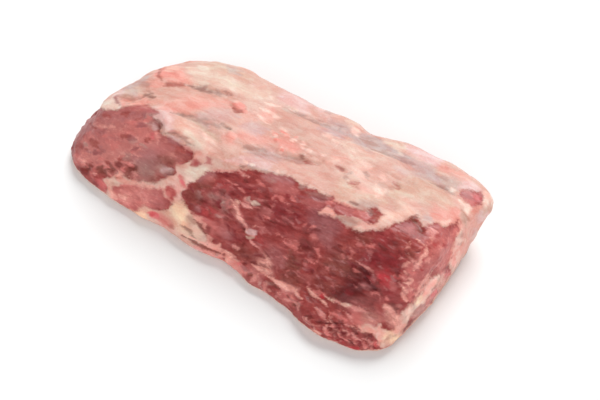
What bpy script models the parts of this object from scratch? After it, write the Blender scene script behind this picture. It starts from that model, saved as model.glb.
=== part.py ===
"""A raw boneless beef ribeye roll, lying rib side up: one solid at its real size.

The length runs along X with the cut end at +X. The lean flank faces -Y, the fat top faces +Z.
A cube cut into a grid is rounded and laid over a cross-section that changes along the length.
Swells then push the outline out, seams are pressed in or raised, and the meat is roughened.
"""

import math

import bmesh
import bpy
from mathutils import Vector, noise

MM = 0.001

# Driving sizes of the roll, in metres.
LENGTH = 364 * MM
GRID = (66, 32, 16)
FLAT_SINK = 5 * MM

# Cross-section: four corners, joined by straight sides that are then rounded.
FRONT_FOOT_Y = -86 * MM
BACK_FOOT_Y = 92 * MM
RIDGE_Y = -21 * MM
RIDGE_HEIGHT = 87 * MM
SHOULDER_Y = 107 * MM
SHOULDER_HEIGHT = 59 * MM

# How the section changes along the length.
BELLY = 17 * MM
BELLY_X = 123 * MM
BELLY_REACH_LEFT = 23 * MM
BELLY_REACH_RIGHT = 45 * MM
FRONT_SPLAY = 11 * MM
FRONT_SPLAY_RUN = 120 * MM
BACK_WIDENING = 7 * MM
BACK_WIDENING_X = 140 * MM
BACK_WIDENING_REACH = 60 * MM
BACK_UNDERCUT = 22 * MM
BACK_UNDERCUT_RUN = 70 * MM
THIN_END_RUN = 90 * MM
RIDGE_FALL = 14 * MM
SHOULDER_FALL = 17 * MM
THIN_END_SLANT = 10 * MM
TIP_LENGTH = 39 * MM
CUT_END_CROWN = 5 * MM

# Roundness: 2 is an ellipse, and a higher power is squarer.
SECTION_POWER = 4.8
CUT_END_POWER = 8.0
THIN_END_POWER = 5.2

# Shares of the half length, from the middle out, between which an end takes over.
POWER_TURN = 0.4
END_TURN = (0.75, 1.0)
SPLAY_START = -36 * MM

# The tip of the thin end: where it lies across the roll, and its reach, as shares of half the width.
TIP_ACROSS = -0.4
TIP_REACH = 0.5

# Swells, in millimetres: centre, reach, and how far the surface is pushed there.
SWELLS = (
    ((185, 94, 40), 16, (11, 1, 1)),
    ((95, 112, 50), 34, (0, 2, 1)),
    ((-172, -66, 4), 32, (-2, -4, 0)),
    ((-96, -72, 4), 14, (0, -1, 0)),
    ((-34, -73, 5), 16, (0, -5, 0)),
    ((31, -79, 4), 10, (0, -5, 0)),
    ((66, -84, 4), 17, (0, -5, 0)),
    ((-92, 104, 46), 32, (0, 3, 1)),
    ((-176, 62, 38), 12, (-2, 3, 0)),
    ((-135, 96, 40), 26, (-2, 3, 0)),
    ((26, 104, 50), 14, (0, 1, 1)),
    ((49, 106, 50), 8, (0, -5, -2)),
    ((64, 100, 50), 12, (0, -3, -1)),
    ((116, 106, 48), 11, (0, -2, -1)),
    ((128, -102, 6), 24, (0, -2, 0)),
    ((94, -90, 6), 11, (-1, -5, 0)),
    ((162, -88, 6), 13, (1, -4, 0)),
    ((-150, 55, 50), 13, (0, 0, 3)),
    ((-182, 20, 44), 24, (-2, 0, 1)),
)

# Seams, in millimetres: route, half width, and depth. A negative depth is a raised roll of fat.
SEAMS = (
    # Hollows that the rib bones left, and the lines of silverskin, on the fat top.
    (((-27, 72, 62), (45, 83, 59), (158, 72, 62)), 8, 2.2),
    (((-127, 42, 61), (-79, 50, 67)), 5, 2.6),
    (((-175, 2, 54), (-133, 7, 67)), 5, 2.4),
    (((-110, 4, 74), (-80, -2, 76), (-56, -8, 76)), 5, 2.6),
    (((-27, -3, 76), (11, 9, 75), (42, 21, 73)), 8, 1.6),
    (((-60, 40, 70), (20, 48, 68), (110, 46, 69)), 11, 1.6),
    (((30, 12, 75), (90, 24, 73), (150, 30, 72)), 7, 1.4),
    # Rolls of fat between them.
    (((-115, 22, 70), (-30, 28, 72), (60, 36, 70)), 8, -1.6),
    (((-20, 60, 66), (70, 66, 64), (150, 56, 66)), 7, -1.2),
    # The edge of the fat, which stands over the lean of the thin end.
    (((-170, -14, 52), (-140, -13, 66), (-120, -15, 70), (-108, -26, 70)), 5, 3.0),
    (((-168, -4, 52), (-138, -4, 66), (-112, -8, 71)), 5, -1.6),
    # The fat seam that parts the thin end from the eye muscle, down the flank.
    (((-72, -26, 70), (-60, -44, 56), (-66, -62, 36), (-84, -80, 14)), 7, 3.6),
    (((-94, -38, 62), (-112, -58, 36), (-150, -64, 20)), 7, 2.2),
    # Clefts in the eye muscle's flank.
    (((-16, -40, 58), (-2, -46, 50), (6, -54, 40)), 5, 2.4),
    (((30, -66, 34), (56, -66, 36), (70, -72, 28)), 5, 2.0),
    (((112, -54, 50), (128, -60, 44), (142, -56, 46)), 8, 2.6),
    # The torn edge muscle along the foot near the cut end, rolled out below its cleft.
    (((88, -72, 32), (104, -76, 28), (122, -78, 28), (150, -70, 32), (166, -62, 34)), 5, 4.0),
    (((92, -84, 18), (112, -92, 17), (138, -88, 18), (160, -76, 18)), 7, -3.0),
    # The corner of the cut end, and the fat that rings its eye muscle.
    (((168, -2, 73), (170, -22, 67), (172, -42, 50)), 4, -1.6),
    (((184, 20, 56), (186, -10, 49), (184, -36, 38), (181, -58, 18)), 6, 3.0),
    (((183, 40, 52), (184, 70, 40), (180, 92, 30)), 6, 1.8),
)

# Roughness of the surface: size of the bumps and their height, smooth fat first, torn lean after.
FAT_ROUGHNESS = ((34 * MM, 1.5 * MM), (15 * MM, 0.7 * MM))
LEAN_ROUGHNESS = ((24 * MM, 1.7 * MM), (12 * MM, 1.3 * MM))
CRAG_SIZE = 15 * MM
CRAG_HEIGHT = 3.0 * MM
CRAG_CENTRE = Vector((128, -90, 16)) * MM
CRAG_REACH = 46 * MM
FOOT_BLEND = 9 * MM
FOOT_SPREAD = 0.4
FAT_FACING = (0.45, 0.85)
SEED_OFFSET = Vector((3.7, 1.9, 8.3))

RAW_RED = (0.36, 0.07, 0.06, 1.0)


def clear_scene():
    for item in list(bpy.data.objects):
        bpy.data.objects.remove(item, do_unlink=True)


def ease(t):
    """Goes from 0 to 1 with a level start and end."""
    t = min(1.0, max(0.0, t))
    return t * t * (3 - 2 * t)


def ease_between(low, high, value):
    """Goes from 0 to 1 as the value goes from low to high."""
    return ease((value - low) / (high - low))


def bell(t):
    """Falls from 1 at t = 0 towards 0 on both sides."""
    return math.exp(-0.5 * t * t)


def mix(low, high, share):
    return low * (1 - share) + high * share


def rounded(cell):
    """A grid point of the cube from -1 to 1, pulled in so that edges and ends are rounded."""
    along, across, up = cell
    reach = max(abs(across), abs(up))
    section = 1.0
    if reach > 0:
        power = SECTION_POWER
        section = reach / (abs(across) ** power + abs(up) ** power) ** (1 / power)
    power = mix(THIN_END_POWER, CUT_END_POWER, ease_between(-POWER_TURN, POWER_TURN, along))
    end = 1 / (abs(along) ** power + reach**power) ** (1 / power)
    return along * end, across * section * end, up * section * end


def section_corners(x):
    """Front foot, back foot, ridge and shoulder of the cross-section at x, each as (y, z)."""
    thin = ease((THIN_END_RUN - LENGTH / 2 - x) / THIN_END_RUN)
    belly_reach = BELLY_REACH_LEFT if x < BELLY_X else BELLY_REACH_RIGHT
    belly = BELLY * bell((x - BELLY_X) / belly_reach)
    splay = FRONT_SPLAY * ease((x - SPLAY_START) / FRONT_SPLAY_RUN)
    widening = BACK_WIDENING * bell((x - BACK_WIDENING_X) / BACK_WIDENING_REACH)
    front = (FRONT_FOOT_Y - belly - splay, 0.0)
    undercut = BACK_UNDERCUT * ease((x - LENGTH / 2) / BACK_UNDERCUT_RUN + 1)
    back = (BACK_FOOT_Y + widening - undercut, 0.0)
    ridge = (RIDGE_Y, RIDGE_HEIGHT - RIDGE_FALL * thin)
    shoulder = (SHOULDER_Y + widening, SHOULDER_HEIGHT - SHOULDER_FALL * thin)
    return front, back, ridge, shoulder


def base_point(cell):
    """Where a grid point lies on the roll before swells and seams."""
    along, across, up = rounded(cell)
    x = along * LENGTH / 2
    back_share = (across + 1) / 2
    height_share = (up + 1) / 2
    front, back, ridge, shoulder = section_corners(x)
    foot = mix(front[0], back[0], back_share)
    crown = mix(ridge[0], shoulder[0], back_share)
    y = mix(foot, crown, height_share)
    z = height_share * mix(ridge[1], shoulder[1], back_share)
    slant = THIN_END_SLANT * back_share * ease(-along)
    crown_out = CUT_END_CROWN * ease_between(*END_TURN, along) * (1 - across**2) * (1 - up**2)
    tip = TIP_LENGTH * ease_between(*END_TURN, -along) * (1 - height_share)
    tip *= bell((across - TIP_ACROSS) / TIP_REACH)
    return Vector((x + slant + crown_out - tip, y, max(0.0, z - FLAT_SINK)))


def swell(point):
    """How far the swells push a point."""
    push = Vector((0, 0, 0))
    for centre, reach, way in SWELLS:
        away = (point - Vector(centre) * MM).length / (reach * MM)
        push += Vector(way) * MM * bell(away)
    return push


def distance_to_route(point, route):
    """Distance from a point to a line through the route's points, given in millimetres."""
    nearest = LENGTH
    for start, end in zip(route, route[1:]):
        start = Vector(start) * MM
        run = Vector(end) * MM - start
        share = min(1.0, max(0.0, (point - start).dot(run) / run.length_squared))
        nearest = min(nearest, (point - start - run * share).length)
    return nearest


def seam_height(point):
    """Height that the seams take from the surface, or add to it where a roll is raised."""
    height = 0.0
    for route, half_width, depth in SEAMS:
        height -= depth * MM * bell(distance_to_route(point, route) / (half_width * MM))
    return height


def roughness(point, bumps):
    height = 0.0
    for size, rise in bumps:
        height += rise * noise.noise(point / size + SEED_OFFSET)
    return height


def crag_height(point):
    """Torn, flaky meat: sharp crests along the foot near the cut end."""
    near = bell((point - CRAG_CENTRE).length / CRAG_REACH)
    crest = 1 - 2 * abs(noise.noise(point / CRAG_SIZE + SEED_OFFSET))
    return CRAG_HEIGHT * near * (crest - 0.5)


def relief(point, facing):
    """Height of the surface detail at a point whose face looks along facing."""
    fat = ease_between(*FAT_FACING, facing.z)
    rough = mix(roughness(point, LEAN_ROUGHNESS), roughness(point, FAT_ROUGHNESS), fat)
    return seam_height(point) + rough + crag_height(point)


def shape_roll(bm):
    """Moves the cube's grid onto the roll, then raises and presses its detail."""
    for vert in bm.verts:
        vert.co = base_point(vert.co)
        on_floor = vert.co.z == 0.0
        vert.co += swell(vert.co)
        if on_floor:
            vert.co.z = 0.0
    bm.normal_update()
    for vert in bm.verts:
        lift = ease(vert.co.z / FOOT_BLEND)
        move = vert.normal * relief(vert.co, vert.normal)
        level_move = Vector((move.x, move.y, 0)) * mix(FOOT_SPREAD, 1.0, lift)
        vert.co += level_move + Vector((0, 0, move.z * lift))
        vert.co.z = max(0.0, vert.co.z)


def cube_grid():
    """A cube from -1 to 1 whose edges along X, Y and Z are cut into the grid's counts."""
    bm = bmesh.new()
    bmesh.ops.create_cube(bm, size=2)
    for axis, count in enumerate(GRID):
        edges = []
        for edge in bm.edges:
            run = edge.verts[1].co - edge.verts[0].co
            if abs(run[axis]) > 1:
                edges.append(edge)
        bmesh.ops.subdivide_edges(bm, edges=edges, cuts=count - 1, use_grid_fill=True)
    return bm


def stand_at_origin(bm):
    """Puts the middle of the roll's box over the origin, with its underside at z = 0."""
    lows = [min(vert.co[axis] for vert in bm.verts) for axis in range(3)]
    highs = [max(vert.co[axis] for vert in bm.verts) for axis in range(3)]
    middle = Vector(((lows[0] + highs[0]) / 2, (lows[1] + highs[1]) / 2, lows[2]))
    bmesh.ops.translate(bm, verts=bm.verts, vec=-middle)


def raw_meat():
    material = bpy.data.materials.new("raw_meat")
    material.use_nodes = True
    shader = material.node_tree.nodes["Principled BSDF"]
    shader.inputs["Base Color"].default_value = RAW_RED
    shader.inputs["Roughness"].default_value = 0.38
    shader.inputs["Metallic"].default_value = 0.0
    return material


def make_ribeye(collection):
    bm = cube_grid()
    shape_roll(bm)
    stand_at_origin(bm)
    bmesh.ops.recalc_face_normals(bm, faces=bm.faces)
    mesh = bpy.data.meshes.new("ribeye")
    bm.to_mesh(mesh)
    bm.free()
    mesh.materials.append(raw_meat())
    mesh.shade_smooth()
    roll = bpy.data.objects.new("ribeye", mesh)
    collection.objects.link(roll)
    return roll


def main():
    clear_scene()
    collection = bpy.data.collections.new("raw_beef_ribeye")
    bpy.context.scene.collection.children.link(collection)
    make_ribeye(collection)


main()
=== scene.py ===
"""Looks of a raw boneless beef ribeye roll: its fine surface, the marks on its fat and lean, and the studio.

The roll is one piece of meat, so one fine mesh stands for the one solid. Marks are drawn flat, on a plan of
each side of the roll, and carried onto the meat, where their widths are real millimetres.
"""

import math

import bmesh
import bpy
import numpy as np
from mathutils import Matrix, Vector, noise


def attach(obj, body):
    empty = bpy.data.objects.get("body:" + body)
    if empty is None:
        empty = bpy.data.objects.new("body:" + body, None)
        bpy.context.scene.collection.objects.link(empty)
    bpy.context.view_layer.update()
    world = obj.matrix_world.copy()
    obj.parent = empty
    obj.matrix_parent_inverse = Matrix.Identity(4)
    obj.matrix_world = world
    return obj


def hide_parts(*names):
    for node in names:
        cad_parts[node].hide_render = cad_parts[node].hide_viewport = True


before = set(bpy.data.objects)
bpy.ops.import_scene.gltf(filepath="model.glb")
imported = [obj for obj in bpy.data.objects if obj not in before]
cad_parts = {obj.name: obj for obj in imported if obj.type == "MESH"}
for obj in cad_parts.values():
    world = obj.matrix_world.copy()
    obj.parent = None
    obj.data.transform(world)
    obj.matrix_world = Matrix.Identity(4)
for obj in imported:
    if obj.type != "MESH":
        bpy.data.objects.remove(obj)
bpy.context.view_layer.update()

MM = 0.001


def plan_points(text):
    """Plan points from text such as "12,34 56,78"."""
    return [tuple(float(value) for value in point.split(",")) for point in text.split()]


def marks(text):
    """One mark a line: its kind or finish, its values, and after the colon its plan points."""
    table = []
    for line in text.splitlines():
        about, colon, points = line.partition(":")
        if colon:
            values = [word if word.isidentifier() else float(word) for word in about.split()]
            table.append((*values, plan_points(points)))
    return table


# -------------------- camera and studio

PHOTO_SIZE = (600, 400)
SENSOR = 36.0
LENS = 102.35
CAMERA_AZIMUTH = math.radians(32.42)
CAMERA_ELEVATION = math.radians(50.74)
CAMERA_DISTANCE = 1.5932
CAMERA_TARGET = Vector((0.03858, 0.00176, 0.03))
PHOTO_UNITS = 1 / 0.95

FLOOR_SIZE = 8.0
FLOOR_WHITE = 0.95
SKY_WHITE = (0.97, 1.0, 0.99)
SKY_STRENGTH = 0.34
LAMP_SPREAD = math.radians(37)
LAMP_STRENGTH = 2.62
LAMP_FROM = Vector((-0.14, 0.92, 0.92))
FILL_SPREAD = math.radians(90)
FILL_STRENGTH = 2.1
FILL_FROM = Vector((0.4, -0.9, 0.27))

# -------------------- mesh of the roll

MERGE = 0.01 * MM
CAGE_CELL = 2.68 * MM
CAGE_SMOOTHING = 8
FINE_SMOOTHING = 2
SMOOTH_IN = 0.6
SMOOTH_OUT = -0.63
UNDERSIDE_HEIGHT = 2.5 * MM
FLAT_HEIGHT = 0.5 * MM

# -------------------- finishes
# Colours of the meat, as red, green and blue from 0 to 255. Most marks drawn in them are the meat's own
# colour. Some darker ones are painted shade under lumps, flaps and the fat's edge, in notches and folds, and
# along the bottom edge. The taupe, clay, umber and rust lines that follow the creases are partly seams in
# the fat's own colour and partly painted shade in the creases. One mauve mark is a painted highlight.

FAT_BASE = (216, 170, 156)
LEAN_BASE = (158, 66, 63)

FINISHES = {
    # fat
    "ivory": (240, 218, 204), "milk": (246, 206, 192), "cream": (232, 207, 190),
    "butter": (252, 210, 178), "peach": (234, 188, 170), "pink_fat": (232, 178, 166),
    "salmon": (236, 166, 153), "shell_pink": (255, 184, 172), "coral": (234, 146, 134),
    "blush": (228, 190, 187), "lavender": (206, 171, 169), "lilac": (184, 149, 155),
    "silver": (194, 166, 162), "sage": (198, 180, 169), "tan": (214, 180, 160),
    "taupe": (182, 144, 134), "clay": (186, 134, 120), "rust": (178, 104, 92), "umber": (140, 90, 78),
    # lean
    "blossom": (224, 148, 140), "hot_pink": (224, 104, 110), "crimson": (202, 50, 60),
    "rose": (212, 120, 114), "rosewood": (187, 104, 101), "mauve": (174, 107, 106),
    "veal": (204, 126, 119), "plum": (152, 84, 86), "red": (174, 56, 57), "wood": (158, 70, 64),
    "wine": (134, 38, 43), "maroon": (124, 45, 42), "deep": (98, 24, 27), "brown": (130, 64, 54),
    "slate": (158, 108, 102), "film": (184, 136, 128),
}

# Lean of these finishes lies under smooth film, and the rest is torn and crumbly.
UNDER_FILM = ("film", "slate", "mauve", "veal", "rosewood", "rose", "lavender", "sage")

# -------------------- marks on the photographed side
# Plan points are pixels of the 600 x 400 photograph.

EYE_LEAN = plan_points("""
180,199 183,192 187,187 191,184 197,181 203,176 210,172 222,171 240,170 252,170 265,172 280,174
292,177 300,184 308,186 310,190 318,191 323,195 332,196 335,201 345,204 352,207 358,210 364,211
370,209 376,210 382,215 388,222 394,224 400,222 405,220 410,219 412,216 416,216 419,219 423,226
430,226 436,225 441,227 446,228 450,226 454,223 459,219 458,226 456,234 454,242 452,250 450,259
449,265 450,270 462,276 456,296 440,318 420,338 400,362 350,372 290,340 252,300 243,276 240,264
232,257 224,251 216,245 209,240 204,233 201,226 198,218 192,213 188,208 184,204
""")
LEFT_LEAN = plan_points("""
92,106 100,108 106,110 112,110 117,109 125,107 137,106 145,106 151,108 156,110 157,113 152,116
155,119 159,121 162,124 160,128 161,132 164,136 170,140 178,144 186,147 192,149 193,153 191,158
186,161 182,164 177,165 175,170 176,173 171,176 166,178 160,181 154,182 148,181 138,180 128,178
121,172 118,171 113,176 106,178 105,182 108,188 104,196 90,190 72,176 58,165 55,140 75,110
""")
FOOT_PATCH = plan_points("""
114,188 120,185 130,184 140,185 147,187 158,188 163,190 165,196 169,203 172,206 168,210 160,211
153,210 148,207 144,205 142,206 138,210 130,209 120,205 112,200
""")
END_LEAN = plan_points("459,191 466,190 473,192 479,193 482,199 479,205 472,206 466,201")
FRONT_FLAP = plan_points("""
316,213 318,209 324,207 327,205 330,207 334,210 338,214 345,216 352,218 360,219 368,222 372,224
377,223 380,219 384,215 388,212 393,214 394,221 392,228 385,229 379,230 374,230 368,231 362,233
356,232 350,229 345,225 340,220 333,216 326,213 319,212
""")
CORNER_SEAM = plan_points("""
438,273 441,276 438,283 434,289 430,295 425,301 420,306 415,311 411,316 409,321 405,328 402,335
394,344 383,348 377,342 374,336 366,334 361,329 364,324 370,324 376,326 380,323 384,329 390,329
396,325 399,319 402,314 406,308 412,302 416,296 421,291 425,284 430,278
""")

# Order of fat over lean and lean over fat: kind, half width in mm (0 fills the outline), and plan points.
PHOTO_LAYERS = (
    ("lean", 0, EYE_LEAN),
    ("lean", 0, LEFT_LEAN),
    ("lean", 0, FOOT_PATCH),
    ("lean", 0, END_LEAN),
    ("fat", 2.2, plan_points("112,181 122,180 133,182 145,184 155,185 166,183")),
    ("fat", 2.2, plan_points("180,228 187,232 195,237 203,242 212,246 220,250")),
    ("fat", 0, FRONT_FLAP),
    ("fat", 0, CORNER_SEAM),
)

# Patches of colour on the fat, broad ones first: finish, half width in mm, strength, and plan points. The
# taupe, clay, umber and rust lines that follow the creases are partly seams in the fat's own colour and
# partly painted shade in the creases.
# painted shade, the dark taupe and umber lines below
# painted shadow, a red-brown line under the edge of the fat where the lean lies lower
# the rust below is painted shadow under the salmon lump, and the taupe and umber beyond it are partly
# painted shade in the crease
# this groove's clay and umber are partly a browner seam and partly painted shade in the groove
PHOTO_FAT_TINTS = marks("""
# broad shades
clay 15 .35: 250,120 270,128 290,138 305,145
clay 16 .4: 384,194 410,198 438,206
coral 10 .9: 432,216 446,216 460,213
# top at the thin end
cream 14 .8: 190,70 205,74 222,78 240,86
cream 8 .6: 240,92 255,96 268,94
salmon 7 .7: 150,103 170,104 205,104 232,104
lavender 6 .5: 195,116 215,117 240,119
blush 8 .8: 152,113 160,116 168,122 170,130
peach 8 .7: 176,122 188,128 196,134
cream 6 .7: 184,132 193,140 203,148 210,155
milk 4 .7: 203,134 212,140 222,150
silver 5 .8: 122,89 136,84 149,77
blush 6 .7: 112,97 118,92 124,88
tan 7 .8: 124,92 132,88 140,88
clay 4 .8: 141,88 149,85
ivory 6 .9: 103,106 110,105 117,106
salmon 6 .8: 122,103 136,103 150,103
rust 1.6 .7: 113,110 125,108 144,107 157,112
clay 2.4 .9: 119,98 130,98 140,97
umber 1.9 .8: 140,96.5 147,95 152,98 158,100
plum 2.2 .8: 117,98 117,103
salmon 10 1: 158,78 170,76 184,76
coral 6 .8: 156,76 168,74 182,77
coral 2.4 .7: 168,82 178,83 186,82
rust 1.3 .8: 161,69 160,76 163,83
peach 1.6 .8: 165,73 175,71 183,72
salmon 4 .6: 150,86 158,85 165,86
rust 2.4 .9: 163,87 170,86 178,85.5 186,85
taupe 2.8 1: 185,83 193,86 202,88 210,92 222,94 232,96
umber 1.6 .5: 188,84 196,87 204,89 212,92
tan 5 .6: 210,68 225,69 240,73
silver 3 .6: 228,68 240,74
tan 7 .6: 238,76 250,84
coral 2.8 .4: 165,108 190,108.5 215,108 232,109
taupe 2.4 1: 170,112 180,114 190,118 200,121 210,123 220,127 232,130
blush 3 .6: 203,125 212,125
tan 2 .7: 190,118 198,124 205,131 215,138 222,143
umber 1.2 .4: 218,125 228,128
taupe 1.9 1: 167,135 175,133 182,137 188,142 193,145
umber 1.2 .6: 168,134 175,134 181,137
rosewood 2.2 .5: 170,132 179,132
lavender 3 .7: 168,139 176,141 184,143
taupe 1.5 .7: 184,147 190,144 197,146
coral 4 .4: 222,137 232,138
# between the two ends of the fat top
pink_fat 8 .7: 244,118 256,122
salmon 5 .6: 262,116 272,118
lavender 4 .6: 240,127 254,129 266,132
coral 7 .5: 234,136 255,140 275,142
lavender 2.4 .7: 252,132 262,134 270,133
coral 7 .6: 279,142 288,146 294,149
milk 1.3 .8: 254,112 260,117 266,123 272,127
milk 1.3 .8: 259,108 267,112 275,117 281,119
milk 1.3 .7: 264,104 272,107 280,108
ivory 2.2 .6: 270,98 276,98
milk 1.6 .8: 280,151 282,153
milk 2.4 .6: 283,130 286,132
lavender 4.5 .9: 246,153 262,155 276,157 288,158
taupe 2.2 .8: 243,148 254,150 266,152
taupe 2.4 .8: 250,153 268,155 290,158 304,163 318,166
clay 3.4 .8: 285,159 292,160 299,161
rust 1.3 .9: 303,161 309,163 315,165
umber 1.6 .9: 300,156 304,156
blush 5 .9: 240,158 252,160 262,161 272,163
milk 1.6 .8: 243,161 248,163
ivory 1.4 .8: 251,164 254,165
blush 2.4 .7: 222,160 240,162 258,167 275,172
taupe 1.6 .9: 238,166 250,167 262,170 285,174
umber 1.2 .6: 241,167 246,167
milk 1.4 .7: 275,169 278,172
milk 2 .7: 303,142 303,148
milk 2 .6: 306,149 311,152
milk 1.6 .7: 320,158 323,156 327,155
clay 1.6 .6: 322,160 324,163
clay 2.2 .5: 304,155 308,157
milk 4 .6: 328,163 338,161
pink_fat 5 .5: 340,158 345,163
rust 1.8 .9: 335,166 339,169 345,171
umber 1.2 .5: 336,167 344,171
# back rim and the silver stripe of film
blush 9 .8: 280,97 296,102 308,108
blush 4 .7: 315,108 324,112 335,118
sage 5 .6: 284,110 292,114 300,117
ivory 1.5 .8: 288,107 293,109 300,112
taupe 2.2 .95: 290,112 300,115 310,119 320,122 330,124
silver 4.5 .9: 320,123 336,126 346,129 354,134
lavender 5 .9: 318,128 330,131 346,134
milk 3 .7: 322,134 330,138 340,143
ivory 3 .6: 340,141 352,147 362,151
taupe 2.2 .6: 325,112 333,114 340,117
cream 3.5 .6: 345,121 350,124 356,127
milk 2.4 .8: 352,130 360,132
pink_fat 3 .6: 334,117 342,119
silver 5 1: 346,132 358,138 372,144 386,149
silver 3.8 1: 352,133 362,138 372,142 385,147 395,151
taupe 2.2 .95: 358,137 366,140 380,146
taupe 1.8 1: 370,148 380,151 390,154 400,158
silver 4 .9: 384,151 396,156 408,161 420,167
slate 2.2 .7: 394,156 405,160 415,165
silver 6 .95: 412,165 421,169 430,174 440,177
lilac 5.5 .4: 436,178 450,182 464,186
sage 4.5 .8: 440,178 452,182 466,187
taupe 2.2 1: 430,182 440,186 448,190 458,195
umber 1.2 .4: 432,183 440,186 448,190
taupe 1.8 .9: 436,174 443,177 450,180
cream 4 .6: 383,142 395,146 405,151
blush 5 1: 405,148 415,152 428,156 440,160
blush 3.4 .7: 432,157 440,161
salmon 4 .6: 438,165 446,168 452,171
pink_fat 4 .7: 452,171 464,178 472,184
# top at the thick end
cream 12 .4: 350,156 370,158 385,160
lavender 5 .4: 395,168 408,172 418,176
milk 6 .5: 352,168 362,170 372,168
tan 13 .8: 392,194 410,193 428,192 442,198
milk 5 .8: 377,183 381,190 376,197
pink_fat 6 .7: 360,188 368,192
milk 2 .6: 381,177 384,180
taupe 1.8 .8: 344,178 348,177 352,173
taupe 1.8 .9: 364,174 369,177
rust 1.6 .9: 348,183 354,182.5 360,183
clay 2 .6: 356,186 359,189
clay 3 .5: 381,183 384,186
rust 1.5 .8: 392,182 396,185 400,188
clay 2 .6: 390,187 392,188
tan 8 .7: 340,182 346,190 346,198
tan 7 .8: 358,199 372,199 386,203
taupe 6 .75: 356,205 366,206 378,207
umber 2 .9: 349,201 353,202 358,204
milk 5 .3: 398,202 408,203 418,203
pink_fat 5 .5: 402,208 412,209 422,210
peach 4 .7: 394,213 404,213 411,214
tan 5 .7: 438,199 447,202 456,206
salmon 8 .4: 438,216 447,216 456,214
milk 2.4 .8: 442,224 450,223
clay 9 .35: 434,214 446,214 456,213
clay 2.2 .7: 462,211 464,217 464,225
silver 4 .8: 424,218 432,221
blush 4 .8: 458,186 470,188 478,190
ivory 2.2 .8: 450,187 454,190
milk 2 .9: 460,199 466,205 471,210
milk 1.8 .9: 468,207 467,213 467,217
coral 3 .5: 471,212 475,209 479,207
salmon 7 .8: 469,214 472,224 470,236
blush 4 .8: 478,222 483,211
milk 4 .8: 484,192 487,199 486,208
ivory 3 .6: 490,196 492,205
# right side of the cut end
salmon 7 .6: 461,222 461,238 457,252
milk 2.2 .9: 461,228 457,240 452,254
blush 3 .6: 474,228 474,238 468,250
salmon 2.2 .8: 465,229 464,236
clay 2.2 .6: 460,231 462,236
coral 2.2 .6: 466,237 468,243
milk 2.2 .8: 460,240 466,242
clay 2 .6: 458,244 461,246
salmon 5 .8: 467,245 458,252 455,258
shell_pink 5.5 .9: 461,242 457,250 453,258 452,265
milk 1.6 .7: 458,252 455,260
# flap below the fat top
salmon 7 .95: 320,210 328,210 334,214
taupe 5 .8: 337,216 346,221 354,226
pink_fat 5 .9: 360,224 370,227 380,225
peach 4 .8: 380,224 388,217 391,223
# foot at the thin end
peach 5 .9: 108,180 111,184
blossom 7 .9: 196,246 210,252 224,259 238,267 246,276
rose 4 .7: 214,259 226,265 240,273
salmon 3 .7: 118,180 128,181 140,184 152,186
butter 6 .9: 130,213 138,214 146,214
blossom 6 .8: 158,216 166,222 174,230
salmon 5 .6: 160,186 164,192 162,198
pink_fat 6 .8: 178,168 176,178 178,192 177,200
blossom 3 .6: 176,186 179,192
cream 6 .9: 186,172 196,171 208,169
milk 3 .8: 188,178 191,183
salmon 6 .9: 194,155 203,157 209,154
butter 10 1: 174,206 179,214 185,224
peach 6 .8: 188,214 196,222 196,232
umber 3.4 .5: 187,216 192,220 196,224
rust 1.6 .8: 169,225 172,228 176,231
# fat of the front corner
salmon 4 .8: 365,327 371,330 375,335
salmon 3.4 .9: 379,326 381,335 378,341
salmon 4 .9: 397,321 400,328 392,330
butter 6 .9: 384,336 392,338 400,336
clay 1.6 .7: 384,342 389,337 396,334
milk 6 1: 438,275 431,286 425,297 416,306
shell_pink 4 .75: 437,277 429,287 423,294
butter 2.6 .8: 421,294 418,299 415,304
milk 3 .8: 411,306 409,313 407,320
""")
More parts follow.
